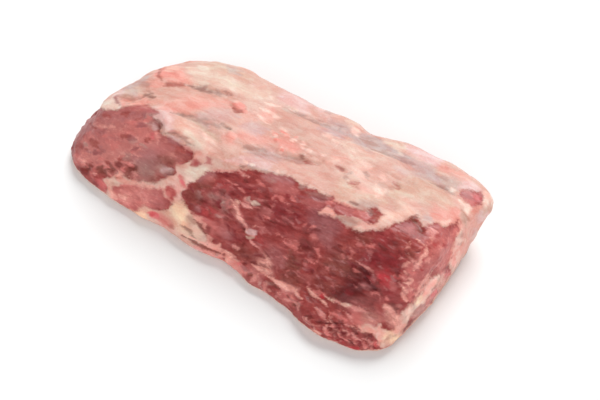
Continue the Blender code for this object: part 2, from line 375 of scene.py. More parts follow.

# Patches of colour on the lean, in the same order of values.
# painted shade in the notch of the cut end
# painted shadow beside the flap lobe in slate, and painted shade in the notch below it in brown
# painted shadow under the edge of the fat on the cut end
# the pit of a fold, dark lean deepened by painted shade, and a painted highlight in mauve
PHOTO_LEAN_TINTS = marks("""
# thin end
veal 34 1: 84,150 112,140 142,134 150,150 120,156
mauve 7 .7: 95,112 104,114 112,114
mauve 8 .6: 112,118 125,117 138,117
rosewood 2.2 .8: 112,111 126,110 138,108 146,109 156,112
mauve 6 .9: 140,116 150,117 156,121 150,124
film 3 .6: 146,123 152,128 154,132
slate 4 .9: 156,121 163,124
brown 2.6 .8: 159,126 161,130 162,133
lavender 2 .6: 153,125 156,131
rose 9 .45: 128,130 140,134 148,139
hot_pink 3 .7: 151,137 154,138
blossom 2.4 .9: 156,134 158,138 159,143
salmon 1.8 .5: 92,123 98,125 106,126.5 116,127
rosewood 7 .7: 84,130 96,132 106,138 122,141
mauve 5 .8: 75,142 79,133 87,123 94,116
plum 4 .5: 74,148 78,147 83,147
rose 2.5 .5: 86,139 92,140
rose 3 .5: 112,134 122,134 126,131
blossom 2 .5: 125,126 129,128
rose 5 .8: 74,155 82,159 88,160
blossom 3.4 .9: 78,158 84,160 88,162
salmon 2.2 .7: 83,160 87,162
brown 2.6 .9: 81,167 88,166.5 94,167
maroon 4 .9: 80,171 85,174
rose 5 .6: 90,174 96,173 99,170
hot_pink 5 .6: 101,181 104,187
rose 4 .6: 101,181 104,187
wine 2 .7: 93,183 98,185
rose 3 .5: 97,165 99,168
brown 3 .85: 101,174 104,170 107,167
brown 3.6 .85: 108,164 112,169 115,172
maroon 2.6 .8: 117,165 120,163.5
brown 3 .6: 125,159 128,160
brown 4 .85: 125,175 131,170 135,166
blossom 2.2 .6: 133,136 135,141
blossom 2.4 .6: 133,154 137,157
mauve 9 .9: 141,156 147,160 152,164
slate 9 .8: 138,173 147,173 154,172
film 5 .5: 138,168 147,170 155,172
film 4 .9: 157,167 162,167 163,174
lavender 3 .7: 161,171 166,169 171,168
brown 3 .6: 152,179 158,180
slate 3 .8: 164,176 171,174
brown 6 .75: 158,155 168,159 174,165
rosewood 6 .7: 156,147 172,148
wood 6 .6: 176,151 183,155 188,156
wine 2 .7: 186,152 191,154
blossom 2 .9: 183,147 188,149 192,150
maroon 2.2 .8: 160,161 168,164 174,168
mauve 3 .8: 166,141 173,143 181,145
# pink patch at the foot
rose 16 1: 124,192 138,194 150,196
blossom 9 .5: 124,192 140,196 148,198
rosewood 8 .9: 156,192 160,202 164,208
red 4 .5: 133,206 139,207
salmon 1.8 .8: 118,194 122,195.5 127,197
# rib end of the eye muscle
brown 7 .6: 187,192 193,195 196,202
mauve 3.4 .8: 198,182 206,177 213,174
rose 3.4 .5: 205,181 212,181
wine 1.6 .6: 213,173.5 226,173.5 240,173.5
brown 5 .85: 196,188 206,186 214,187
red 5 .6: 216,188 223,190
wine 7 .8: 232,188 240,191 250,194
slate 3 .6: 197,193 201,198
slate 7 .8: 211,195 220,202 228,209
wine 3 .8: 203,199 208,203
wine 3 .8: 197,206 201,214
maroon 3 .5: 188,199 194,206
mauve 2.6 .7: 196,208 199,210
red 7 .8: 205,210 213,214
rose 5.5 .95: 203,219 209,225 214,229
rose 3.4 .8: 224,222 227,216
maroon 4 .85: 229,206 232,213 234,220
blossom 4 .9: 231,199 237,207 240,216 247,227
wine 6 .7: 236,223 243,228
mauve 5 .8: 225,234 234,235
maroon 2.6 .8: 205,228 210,231
wine 4 .7: 233,238 240,241
brown 9 .6: 236,252 250,254 258,255
red 7 .5: 252,238 262,243
rosewood 5 .6: 222,226 228,230
# film and lean along the edge of the fat top
mauve 8 .9: 264,176 278,180 292,183
film 2.4 .5: 268,179 275,184
rosewood 6 .9: 272,190 286,191 298,191
slate 3 .9: 300,186 306,187 311,188
slate 3.6 .8: 306,193 318,194 331,197
plum 1.6 .8: 295,197 310,198 330,199
rosewood 4.5 .6: 300,202 312,202 324,203
rose 2.8 .8: 325,201 335,202
rosewood 5.5 .9: 337,207 346,211 354,214
rose 5 .8: 354,213 362,216 370,220
umber 2 .95: 366,211 371,213 376,214
rust 3 .6: 374,217 380,218
# middle of the eye muscle
wine 17 .9: 274,211 286,216 296,224
maroon 4 .8: 257,203 261,209
maroon 3 .8: 262,197 268,197
rosewood 4 .7: 263,210 271,213
rosewood 3.4 .6: 256,220 262,222
plum 13 .9: 312,220 322,226 334,233
mauve 8 .5: 320,230 330,237
maroon 5 .85: 301,243 310,246
maroon 2.2 .8: 302,228 304,235
rose 2.4 .7: 311,236 315,239
mauve 9 .5: 262,252 272,256 282,262
brown 6 .85: 291,250 294,258 298,270
maroon 3 .6: 283,273 288,273
brown 8 .7: 284,277 296,281
brown 10 .7: 326,264 338,268 350,270
brown 14 .5: 316,274 330,282 342,292
maroon 5 .8: 350,233 364,236
brown 5 .6: 357,239 370,242
wood 8 .6: 340,244 352,246 366,248
# foot of the eye muscle
salmon 6 .9: 257,263 264,266 269,271
blossom 4 .7: 252,273 255,281
rose 4 .9: 212,256 224,263 238,270 250,276
rosewood 8 .8: 248,268 258,274 262,284
rose 3 .8: 235,265 242,268
blossom 3.2 1: 274,281 281,285 289,288 296,290 300,295
rose 5 .4: 276,292 288,300 300,306
rosewood 7 .6: 276,294 286,300 296,306
rose 9 .9: 354,313 366,315 378,320
blossom 6 .7: 362,318 370,322 376,324
# thick end
wine 15 .95: 364,256 380,259 397,262
deep 7 .5: 378,266 390,270 400,270
red 9 .95: 377,273 386,277 398,282
crimson 5 1: 377,275 388,277 399,281
deep 12 .95: 345,279 352,284 357,291
deep 5 .9: 365,276 370,282 374,290
mauve 3 .5: 363,288 367,285 368,291
maroon 8 .7: 356,297 366,298 376,301
maroon 4 .7: 370,305 376,310
wine 6 .6: 384,288 392,300 398,306
rosewood 3 .7: 391,284 397,290
wine 7 .5: 383,234 392,242
maroon 4 .7: 388,244 398,246
wine 3.4 .7: 397,224 404,222 411,220
rosewood 5 .6: 396,229 404,228 411,227
wood 9 .7: 398,238 412,240
umber 2 .95: 411,217 415,218 418,222
brown 2.6 .9: 417,223 420,228 422,234
maroon 3 .8: 399,251 405,252
brown 4 .8: 410,252 415,257
maroon 2.4 .7: 397,283 400,284
rose 5 .5: 411,262 410,276 409,290 412,302
salmon 5 .9: 385,306 390,313 394,321 397,326
clay 6 .45: 363,313 370,319 376,326
# cut end
rose 15 .85: 442,238 438,252 434,266
veal 9 .4: 440,242 436,254 431,264
rose 5 .9: 455,228 453,242 449,256 447,266
rosewood 7 .8: 450,229 444,234 440,230
rosewood 2.6 .8: 426,228 434,227 441,230
rosewood 9 .9: 425,258 419,272 413,286
brown 3 .6: 423,261 427,263
blossom 6 .9: 445,272 442,286 434,296
peach 4 .5: 444,276 438,290
blossom 6 .9: 432,298 422,309 412,318
film 5 .8: 424,304 417,310 411,317
hot_pink 3 .7: 432,297 437,290
hot_pink 2.4 .5: 450,272 447,281
rose 9 1: 464,194 476,200
mauve 5 .9: 461,193 468,196
hot_pink 3 .4: 474,196 479,202
""")

# Thin marks over fat and lean alike: finish, half width in mm, strength, height in mm, and plan points.
# painted shade along the bottom of the fold
# painted shade in the notch of the cut end
# painted shadow along the bottom edge
# painted shadow under the coral lump
PHOTO_STREAKS = marks("""
# lumps on the fat top
coral 4.6 .8 1.3: 234,106 243,108
milk 1.6 .6 .2: 235,104 240,104
rust 1.5 .9 -.6: 231,110 237,113 246,111
salmon 3.6 .8 .9: 228,136 235,136
# rib end of the eye muscle
rose 1.7 .9 .4: 221,177 224,179 228,181 233,184 238,186
salmon 2.6 .9 .5: 118,171 120,178
salmon 3.2 .9 .6: 110,186 113,193 117,198
rosewood 3.6 .9 -.3: 190,165 197,163 204,165
red 2 .6 -.2: 193,164 199,163
rosewood 2 .8 -.2: 206,164 210,161 209,155
rose 3.6 .9 .2: 180,176 183,182 186,188
hot_pink 2 .8 0: 182,181 185,186
red 4.6 .9 -.3: 167,187 170,193 173,200
rose 2 .7 0: 168,191 171,197
hot_pink 2 .9 0: 148,212 154,215 160,220
crimson 1.4 .6 0: 150,214 154,216
rose 2 .7 .2: 156,218 163,222 170,227
blossom 1.5 .8 .3: 240,170 244,173 249,176
blossom 1.3 .6 .2: 212,171 226,170 238,170
rose 1.3 .7 .3: 256,178 260,183 264,187
salmon 1.8 .8 .5: 231,199 234,203 237,207 239,212 240,216 243,220 247,226
salmon 2.4 .8 .3: 236,201 240,207
blossom 1.7 .9 .4: 242,201 245,205 250,211
blossom 2.8 .7 .3: 245,198 250,202 254,205
film 2.2 .9 .4: 248,201 252,197
cream 2.4 .8 .5: 252,206 256,201
maroon 1.4 .7 -.3: 249,207 253,205
milk 2 .7 .4: 247,231 251,232
blossom 3.4 .9 .5: 246,229 250,233 254,236
blossom 1.7 .9 .3: 252,229 257,227
blossom 1.4 .9 .4: 250,238 252,242 255,246 258,249
blossom 1.8 .85 .4: 231,246 235,247 239,250
rosewood 1.8 .7 .2: 283,217 286,221
rose 2 .8 .3: 272,198 276,199
rose 1.5 .8 .3: 277,196 283,201 289,205
# foot at the thin end
salmon 2.6 .8 .3: 188,209 194,214 200,221 207,229
brown 1.5 .8 -.5: 194,219 200,225 205,232 212,239
umber 1.4 .7 -.4: 179,224 186,228 192,233 198,238
brown 2.2 .9 -.6: 182,235 191,239 200,243 210,248 221,254
salmon 1.9 .95 .5: 190,235 200,239 210,243 219,247 226,252 232,258
salmon 2.8 .9 .4: 226,252 229,257 228,264
blush 1.9 .7 .2: 184,242 193,247 203,252 212,256
hot_pink 2 .5 .2: 236,263 241,268
mauve 3 .7 0: 241,266 248,273
salmon 1.5 .8 .3: 251,262 259,270 267,278
salmon 1.7 .8 .4: 205,233 209,238 213,242
salmon 2 .6 .2: 214,245 219,246
# middle
rose 1.2 .7 .3: 306,231 312,226 319,226
maroon 1.2 .6 -.3: 306,235 313,230 320,231
rose 1.4 .8 .3: 281,237 290,242 296,246 302,250
rose 1.4 .8 .3: 283,241 291,246 297,251 303,254
rose 1.4 .7 .3: 302,228 306,223
rose 1.6 .9 .4: 311,247 316,252 317,258 314,262
rose 1.8 .9 .4: 306,258 313,264
rose 1.3 .6 .2: 341,252 343,258
rose 1.4 .6 .2: 346,248 350,252 350,256 347,258
rosewood 1.8 .7 .2: 356,246 362,248
rose 1.9 .8 .3: 366,246 375,249
blossom 1.6 .8 .4: 356,260 360,263 365,267 370,270 373,275
rose 1.3 .7 .2: 352,266 356,269 361,271
salmon 1.4 .8 .3: 330,198 337,201 345,204 352,207 358,210
# torn edge along the foot
salmon 2.6 .9 .6: 268,278 276,282 285,286 294,289 299,294
brown 1.6 .7 -.4: 268,281 274,286 280,289
salmon 1.8 .9 .4: 294,291 299,295 304,299
blossom 2.4 .7 .3: 293,301 297,306 299,312
maroon 1.8 .8 -.6: 307,291 310,295 313,298
salmon 2 .9 .8: 307,286 310,291 314,296 318,299
salmon 1.7 .85 .7: 318,299 324,303 329,308
rose 2 .8 .3: 312,290 320,293 327,296
blossom 2.2 .85 .7: 322,294 330,299 340,302 350,306 360,309 370,311
peach 1.7 .8 .3: 325,296 330,299 335,301
peach 2 .9 .6: 341,302 345,304 350,307
crimson 2 .8 -.3: 320,296 323,298
blossom 2.2 .8 .6: 315,307 320,311 324,316
rose 2.6 .8 .5: 330,311 338,314 346,319
blossom 1.8 .8 .5: 344,310 349,315 352,320
wine 2.2 .8 -.6: 348,309 351,313
salmon 1.8 .9 .6: 358,321 361,326 363,330
salmon 2.4 .8 .5: 313,328 317,333 319,336
rose 1.7 .8 .5: 324,329 329,333 333,337
maroon 2.2 .8 -.8: 317,321 321,324
maroon 2 .8 -.8: 327,327 334,332 338,336
maroon 2 .8 -.8: 338,319 345,323
maroon 2.4 .8 -.9: 351,327 358,334
wine 2.6 .8 -.6: 343,335 347,338
maroon 2.8 .8 -.8: 347,341 352,344
maroon 2.6 .8 -.6: 363,333 370,337
maroon 2.2 .8 -.5: 307,317 311,320
rose 1.7 .8 .6: 340,335 344,340 348,343
blossom 1.5 .8 .6: 352,333 356,338 360,342
blossom 1.7 .8 .5: 365,339 369,343 371,346
rose 1.8 .8 .4: 361,343 365,347
crimson 2.2 .6 .3: 373,341 375,346
crimson 2.2 .5 0: 330,341 345,347 358,350
blossom 1.5 .8 .3: 305,318 308,323 312,326
# front corner and cut end
deep 1.7 .9 -1: 356,263 362,269 367,276 371,283 373,288
maroon 2 .8 -.6: 386,303 390,304 394,309 397,316
rose 2 .8 .4: 387,296 389,301
rose 1.8 .6 .3: 369,293 378,294
salmon 1.7 .9 .5: 417,240 422,244 426,248 424,254 421,259 417,264 413,270
blossom 2.4 .7 .4: 417,260 415,265 413,269
salmon 2.2 .9 .5: 402,287 404,293 408,301
salmon 1.9 .9 .5: 404,284 409,283 413,280
blossom 1.7 .8 .4: 408,253 412,258 416,262
salmon 2.2 .85 .4: 404,263 408,264
salmon 1.6 .9 .4: 406,269 408,275
salmon 3 .85 .4: 429,273 426,279 421,286 416,294
rose 2.4 .8 .3: 411,291 411,299
blossom 3 .8 .5: 427,232 432,231 437,234
salmon 1.4 .8 .3: 430,237 432,241
umber 2 .4 0: 404,330 409,324 415,319
brown 1.8 .9 -.4: 410,218 414,217 418,220
# the pale gristle in the eye muscle
salmon 2.2 .8 .3: 233,201 237,208 241,215
blush 3 .85 .3: 248,233 252,231 257,233
tan 1.4 .8 .2: 247,236 251,238 255,237
""")

# Creases and rolls: half width in mm, height in mm, and plan points.
PHOTO_FOLDS = marks("""
2.6 -1.6: 164,87 176,86 187,84 195,86 205,88 212,91 220,93 231,96
2.6 -1.4: 118,98 125,97 137,97 144,95 150,97 156,100
2.6 -1.4: 172,112 190,118 210,123 232,130
2.4 -.6: 192,119 205,131 222,143
2.6 -1.3: 242,150 262,153 290,158 320,165
2.6 -1.3: 288,108 303,116 317,121 340,128
2.4 -1.1: 345,135 372,148 400,159 423,175 448,190
3 1.2: 400,146 425,157 450,168
4 1.6: 160,76 172,72 184,74
3.4 1.4: 233,105 241,107
1.8 -1.2: 341,170 346,172
1.8 -1.2: 348,183 358,183
2 -1.2: 394,184 399,187
2.4 -1.6: 370,213 377,215
3.2 -1.8: 413,218 420,226 423,233
2.6 -1.4: 365,275 372,283 374,290
2 -1.4: 183,236 200,246 218,254
3 -1.6: 102,163 105,176
3 -1.4: 84,167 92,168
3 -1.4: 122,162 132,168
2.4 -1.4: 160,126 162,134
2.6 1.2: 152,114 162,116 167,124 166,134
2.6 1.2: 352,228 364,231 378,228 390,226
""")

# Zones of small flecks, as outlines.
TORN_FOOT = plan_points("303,312 330,312 352,322 366,332 378,342 370,351 345,347 318,338")
TORN_EDGE = plan_points("400,244 412,240 420,250 414,275 412,300 402,300 398,270")
MOTTLED_RIB = plan_points("186,190 215,182 232,196 228,216 205,220 192,206")
THIN_RAGS = plan_points("80,158 100,158 136,158 134,176 100,184 84,176")
EYE_MIDDLE = plan_points("214,176 262,176 300,200 320,262 300,286 262,270 230,250 216,222")
EYE_END = plan_points("300,240 352,238 400,236 400,300 340,300 306,284")
FOOT_BAND = plan_points("214,252 240,258 262,268 276,290 302,296 304,312 284,304 240,272")
RED_CRUMBS = plan_points("272,134 284,132 297,138 297,153 284,152 274,146")
THIN_LEAN = plan_points("76,130 95,112 150,114 156,150 130,158 76,154")
END_FACE = plan_points("426,236 452,234 446,264 426,284 414,290 420,262")

# Flecks strewn over a zone: its outline, count, seed, half width in mm, length, slant in degrees, height
# in mm, and finishes.
PHOTO_FLECKS = (
    (RED_CRUMBS, 18, 10, 1.3, 5, 20, 0.4, ("coral", "coral", "milk", "salmon")),
    (TORN_FOOT, 64, 11, 1.2, 9, 42, 0.8, ("blossom", "rose", "rose", "blossom", "salmon")),
    (TORN_FOOT, 36, 12, 1.4, 7, 42, -1.0, ("maroon", "wine")),
    (FOOT_BAND, 26, 27, 1.5, 8, 32, 0.5, ("blossom", "salmon", "rose", "film")),
    (FOOT_BAND, 14, 28, 1.5, 7, 32, -0.7, ("maroon", "brown", "wood")),
    (TORN_EDGE, 20, 13, 1.5, 8, 15, 0.6, ("blossom", "salmon", "rose")),
    (TORN_EDGE, 12, 14, 1.3, 7, 15, -0.6, ("maroon", "wood", "brown")),
    (MOTTLED_RIB, 16, 15, 2.0, 5, 20, 0.2, ("mauve", "film", "rosewood")),
    (MOTTLED_RIB, 14, 16, 2.0, 6, 30, -0.3, ("maroon", "wine", "brown")),
    (THIN_RAGS, 16, 17, 1.9, 6, 30, 0.4, ("rose", "blossom")),
    (THIN_RAGS, 12, 18, 1.9, 5, 20, -0.5, ("brown", "wood")),
    (EYE_MIDDLE, 70, 19, 1.1, 8, 38, 0.2, ("rosewood", "rose", "mauve", "rosewood")),
    (EYE_MIDDLE, 40, 20, 1.9, 9, 38, -0.3, ("maroon", "wine", "wine")),
    (EYE_END, 50, 21, 1.1, 8, 40, 0.2, ("rosewood", "mauve", "rosewood")),
    (EYE_END, 30, 22, 1.9, 9, 45, -0.3, ("maroon", "wine")),
    (THIN_LEAN, 26, 23, 2.2, 10, 5, 0.1, ("rose", "film", "mauve")),
    (THIN_LEAN, 14, 24, 2.4, 10, 5, -0.1, ("wood", "plum")),
    (END_FACE, 16, 25, 1.9, 8, -10, 0.2, ("blossom", "rose")),
    (END_FACE, 10, 26, 1.9, 7, 0, -0.2, ("rosewood", "red")),
)

PHOTO_MARKS = (PHOTO_LAYERS, PHOTO_FAT_TINTS, PHOTO_LEAN_TINTS, PHOTO_FLECKS, PHOTO_STREAKS, PHOTO_FOLDS)

# -------------------- marks on the hidden sides
# Plan points are mm: along and up for the back, along and across for the underside, and across and up
# for the thin end. Each side has its layers, fat tints, lean tints, flecks, streaks and folds.

BACK_FOOT = plan_points("-165,6 -20,8 -20,24 -150,24")
BACK_LEAN = plan_points("40,6 165,6 160,20 50,20")
BACK_FAT = plan_points("-185,28 185,28 185,66 -185,66")
BACK_MARKS = (
    marks("""
lean 0: -168,10 -140,22 -96,27 -50,25 -16,17 -30,8 -90,5 -140,4
lean 0: 30,8 62,19 104,24 150,20 172,10 130,4 70,3
lean 2.4: -176,40 -150,45 -118,44
lean 1.8: -60,40 -20,45 30,43 66,47
fat 1.8: -120,14 -90,17 -60,15
fat 1.6: 80,10 110,14 140,12
"""),
    marks("""
blush 20 .6: -190,62 -60,66 60,66 190,60
silver 5 .8: -150,54 -80,58 0,56 70,59 150,54
taupe 2.2 .8: -140,51 -70,54 10,52
lavender 7 .7: 30,50 90,48 160,44
salmon 8 .7: -170,30 -120,36 -60,35
coral 5 .5: -96,38 -80,40
pink_fat 9 .7: -10,32 60,33 120,34
butter 6 .6: 100,60 140,58
clay 2.2 .7: 90,40 118,42
rust 2 .7: -4,24 14,22
milk 4 .7: 150,30 180,34
"""),
    marks("""
rosewood 10 .8: -150,14 -100,18 -50,16
wine 6 .7: -120,10 -80,12
mauve 7 .8: 60,12 110,16 150,14
red 5 .7: 80,8 110,10
"""),
    (
        (BACK_FOOT, 26, 31, 1.6, 12, 4, 0.3, ("rose", "blossom", "film")),
        (BACK_FOOT, 18, 32, 2.0, 10, 4, -0.4, ("maroon", "wine")),
        (BACK_LEAN, 22, 33, 1.6, 12, 4, 0.3, ("rose", "blossom", "film")),
        (BACK_LEAN, 14, 34, 2.0, 10, 4, -0.4, ("maroon", "wine")),
        (BACK_FAT, 46, 35, 2.4, 18, 2, 0.2, ("milk", "ivory", "salmon")),
        (BACK_FAT, 26, 36, 2.0, 12, 3, -0.4, ("clay", "taupe")),
    ),
    (),
    marks("""
2.6 -1.4: -140,51 -70,54 10,52
2.6 -1.2: 30,30 90,34 150,30
4 1.2: -150,34 -90,38 -30,36
"""),
)

UNDERSIDE = plan_points("-180,-80 180,-80 180,80 -180,80")
UNDER_EDGE = plan_points("-150,-70 40,-76 20,-50 -130,-40")
UNDER_LEAN = plan_points("80,0 165,0 165,36 90,36")
UNDERSIDE_MARKS = (
    marks("""
lean 0: -160,-52 -110,-66 -40,-72 30,-78 60,-66 20,-54 -60,-46 -130,-38
lean 0: 70,10 110,-6 160,-2 176,24 140,44 92,38
lean 0: -150,34 -100,26 -50,34 -36,50 -90,60 -140,54
fat 2.4: -130,-50 -60,-58 20,-64
fat 2.2: 96,10 130,16 160,18
"""),
    marks("""
ivory 26 .6: -120,0 0,-6 60,6
cream 22 .7: -60,-10 20,20
pink_fat 22 .7: -20,60 60,66 140,60
salmon 10 .6: -150,10 -90,4 -20,12
lavender 12 .6: 60,-40 120,-46 170,-40
silver 6 .7: -30,30 40,36 90,60
taupe 3 .8: -170,-14 -100,-20 -20,-24 60,-22
butter 10 .6: 0,-40 60,-34
"""),
    marks("""
rosewood 14 .8: -140,-48 -60,-60 30,-68
wine 8 .6: -90,-54 -40,-60
mauve 14 .8: 90,14 130,16 160,22
rose 12 .8: -130,44 -90,42 -56,44
"""),
    (
        (UNDERSIDE, 90, 41, 3.0, 22, 0, 0.0, ("milk", "blush", "salmon")),
        (UNDER_EDGE, 26, 42, 2.2, 12, -8, 0.0, ("blossom", "rose")),
        (UNDER_LEAN, 18, 43, 2.2, 12, 10, 0.0, ("blossom", "rose", "wine")),
    ),
    (),
    (),
)

THIN_FACE = plan_points("-94,8 -4,16 16,50 -80,56")
THIN_FAT = plan_points("24,10 84,10 70,60 -10,66")
THIN_END_MARKS = (
    marks("""
lean 0: -100,8 -100,34 -84,48 -46,52 -14,44 4,30 -4,20 -24,12 -60,4
lean 0: 38,14 46,24 62,30 76,22 70,13 52,8
fat 1.8: -70,22 -44,30 -16,30 8,38
fat 1.4: -84,34 -60,44 -38,48
"""),
    marks("""
salmon 7 .7: 28,46 24,28 4,12
"""),
    marks("""
rosewood 26 1: -90,24 -60,40 -20,46
wine 7 .6: -80,12 -50,14
plum 9 .8: 50,20 64,30
"""),
    (
        (THIN_FACE, 34, 51, 1.8, 10, 20, 0.3, ("rose", "blossom", "film")),
        (THIN_FACE, 22, 52, 2.2, 10, 20, -0.4, ("wood", "wine", "brown")),
        (THIN_FAT, 18, 53, 2.0, 12, -20, 0.2, ("milk", "ivory", "salmon")),
    ),
    (),
    marks("""
2.6 -1.4: -80,24 -40,34 0,40
2.6 -1.2: 26,12 28,34 40,52
"""),
)


# -------------------- small helpers


def smoothstep(low, high, values):
    """0 up to low, 1 from high, and a soft rise between."""
    t = np.clip((values - low) / (high - low), 0.0, 1.0)
    return t * t * (3 - 2 * t)


def linear(colour):
    """A colour from 0 to 255 as the linear light that a shader takes."""
    share = np.array(colour, float) / 255
    return np.where(share <= 0.04045, share / 12.92, ((share + 0.055) / 1.055) ** 2.4)


def new_object(name, data):
    made = bpy.data.objects.new(name, data)
    bpy.context.scene.collection.objects.link(made)
    return made


def finished_mesh(bm, name):
    mesh = bpy.data.meshes.new(name)
    bm.to_mesh(mesh)
    bm.free()
    return mesh


# -------------------- camera and studio


def camera_place():
    """Where the camera stands, and its forward, right and up directions."""
    level = math.cos(CAMERA_ELEVATION)
    back = Vector((
        math.sin(CAMERA_AZIMUTH) * level,
        -math.cos(CAMERA_AZIMUTH) * level,
        math.sin(CAMERA_ELEVATION),
    ))
    right = (-back).cross(Vector((0, 0, 1))).normalized()
    return CAMERA_TARGET + back * CAMERA_DISTANCE, -back, right, right.cross(-back)


def make_camera():
    at, forward, _, _ = camera_place()
    lens = bpy.data.cameras.new("studio_camera")
    lens.sensor_width = SENSOR
    lens.lens = LENS
    camera = new_object("studio_camera", lens)
    camera.location = at
    camera.rotation_euler = forward.to_track_quat("-Z", "Y").to_euler()
    bpy.context.scene.camera = camera


def make_lamp(name, spread, strength, comes_from):
    lamp = bpy.data.lights.new(name, "SUN")
    lamp.angle = spread
    lamp.energy = strength
    holder = new_object(name, lamp)
    holder.rotation_euler = (-comes_from).to_track_quat("-Z", "Y").to_euler()


def make_light():
    world = bpy.data.worlds.new("studio_light")
    world.use_nodes = True
    sky = world.node_tree.nodes["Background"]
    sky.inputs["Color"].default_value = (*SKY_WHITE, 1.0)
    sky.inputs["Strength"].default_value = SKY_STRENGTH
    bpy.context.scene.world = world
    make_lamp("soft_lamp", LAMP_SPREAD, LAMP_STRENGTH, LAMP_FROM)
    make_lamp("white_reflector", FILL_SPREAD, FILL_STRENGTH, FILL_FROM)
    bpy.context.scene.view_settings.view_transform = "Standard"


def white_paper():
    material = bpy.data.materials.new("white_paper")
    material.use_nodes = True
    shader = material.node_tree.nodes["Principled BSDF"]
    shader.inputs["Base Color"].default_value = (FLOOR_WHITE, FLOOR_WHITE, FLOOR_WHITE, 1.0)
    shader.inputs["Roughness"].default_value = 0.8
    shader.inputs["Specular IOR Level"].default_value = 0.1
    return material


def make_floor():
    bm = bmesh.new()
    bmesh.ops.create_grid(bm, x_segments=1, y_segments=1, size=FLOOR_SIZE / 2)
    mesh = finished_mesh(bm, "floor")
    mesh.materials.append(white_paper())
    floor = new_object("floor", mesh)


# -------------------- fine mesh


def merged_copy(node):
    """The solid's mesh with its loose triangles joined."""
    bm = bmesh.new()
    bm.from_mesh(node.data)
    bmesh.ops.remove_doubles(bm, verts=bm.verts, dist=MERGE)
    bmesh.ops.recalc_face_normals(bm, faces=bm.faces)
    return finished_mesh(bm, "cage")


def even_cells(mesh, cell):
    """The same shape in even four-sided faces."""
    holder = new_object("cage", mesh)
    remesh = holder.modifiers.new("even_cells", "REMESH")
    remesh.mode = "VOXEL"
    remesh.voxel_size = cell
    graph = bpy.context.evaluated_depsgraph_get()
    even = bpy.data.meshes.new_from_object(holder.evaluated_get(graph))
    bpy.data.objects.remove(holder)
    return even


def smooth(bm, passes):
    """Evens out facets. Each pass in is followed by one out, so that the roll keeps its size."""
    for factor in (SMOOTH_IN, SMOOTH_OUT) * passes:
        bmesh.ops.smooth_vert(
            bm, verts=bm.verts, factor=factor, use_axis_x=True, use_axis_y=True, use_axis_z=True
        )


def level_underside(bm):
    for vert in bm.verts:
        if vert.co.z < FLAT_HEIGHT:
            vert.co.z = 0.0


def fine_mesh(node):
    """A soft, even mesh of the roll, half as fine on its flat underside."""
    bm = bmesh.new()
    bm.from_mesh(even_cells(merged_copy(node), CAGE_CELL))
    smooth(bm, CAGE_SMOOTHING)
    level_underside(bm)
    shown = [f for f in bm.faces if f.calc_center_median().z > UNDERSIDE_HEIGHT]
    edges = list({edge for face in shown for edge in face.edges})
    bmesh.ops.subdivide_edges(bm, edges=edges, cuts=1, use_grid_fill=True)
    smooth(bm, FINE_SMOOTHING)
    level_underside(bm)
    bmesh.ops.recalc_face_normals(bm, faces=bm.faces)
    return bm


# -------------------- drawing on the meat


class Side:
    """One side of the roll as a flat plan, and how strongly each mesh point belongs to it."""

    def __init__(self, plan, units, share):
        self.plan = plan
        self.units = units
        self.share = share

    def part(self, chosen):
        return Side(self.plan[chosen], self.units, self.share[chosen])


FULLY_SEEN = 0.25
LEAST_SHARE = 0.001
NOT_ZERO = 1e-9


def photo_side(points, normals):
    """The side that the camera sees, with the photograph's pixels as its plan. Points are in mm."""
    at, forward, right, up = (np.array(v) for v in camera_place())
    scale = LENS / SENSOR * PHOTO_SIZE[0]
    gap = points - at / MM
    depth = gap @ forward
    across = PHOTO_SIZE[0] / 2 + scale * (gap @ right) / depth
    down = PHOTO_SIZE[1] / 2 - scale * (gap @ up) / depth
    facing = -(normals * gap).sum(1) / np.linalg.norm(gap, axis=1)
    return Side(np.stack([across, down], 1), PHOTO_UNITS, smoothstep(0.0, FULLY_SEEN, facing))


def hidden_sides(points, normals, left_over):
    """The back, the underside and the thin end, sharing what the photographed side leaves over."""
    x, y, z = points.T
    plans = (np.stack([x, z], 1), np.stack([x, y], 1), np.stack([y, z], 1))
    weights = [np.maximum(0.0, towards) ** 2 for towards in (normals[:, 1], -normals[:, 2], -normals[:, 0])]
    total = sum(weights) + NOT_ZERO
    return [Side(plan, 1.0, left_over * weight / total) for plan, weight in zip(plans, weights)]


ROUTE_STEP = 0.8


def smooth_route(route):
    """Points a step apart along a smooth curve through the route's points."""
    knots = np.array([route[0], *route, route[-1]], float)
    curve = []
    for before, start, end, after in zip(knots, knots[1:], knots[2:], knots[3:]):
        count = max(1, round(float(np.linalg.norm(end - start)) / ROUTE_STEP))
        for t in np.arange(count) / count:
            curve.append(0.5 * (
                2 * start
                + (end - before) * t
                + (2 * before - 5 * start + 4 * end - after) * t**2
                + (3 * start - before - 3 * end + after) * t**3
            ))
    curve.append(knots[-1])
    return np.array(curve)


CHUNK = 4000


def distances(plan, samples, widths, reach):
    """Distance from each plan point to the nearest sample, in that sample's widths, up to reach."""
    far = np.full(len(plan), float(reach))
    room = reach * widths.max()
    inside = ((plan > samples.min(0) - room) & (plan < samples.max(0) + room)).all(1)
    near = np.nonzero(inside)[0]
    for first in range(0, len(near), CHUNK):
        part = near[first : first + CHUNK]
        gaps = np.sqrt(((plan[part][:, None, :] - samples[None]) ** 2).sum(2))
        far[part] = np.minimum(reach, (gaps / widths).min(1))
    return far


def within(plan, outline):
    """Which plan points lie inside the outline."""
    inside = np.zeros(len(plan), bool)
    x, y = plan[:, 0], plan[:, 1]
    for (x0, y0), (x1, y1) in zip(outline, np.roll(outline, -1, axis=0)):
        if y0 == y1:
            continue
        crosses = (y0 > y) != (y1 > y)
        inside ^= crosses & (x < x0 + (y - y0) * (x1 - x0) / (y1 - y0))
    return inside


THIN_END = 0.2
THIN_LENGTH = 0.4


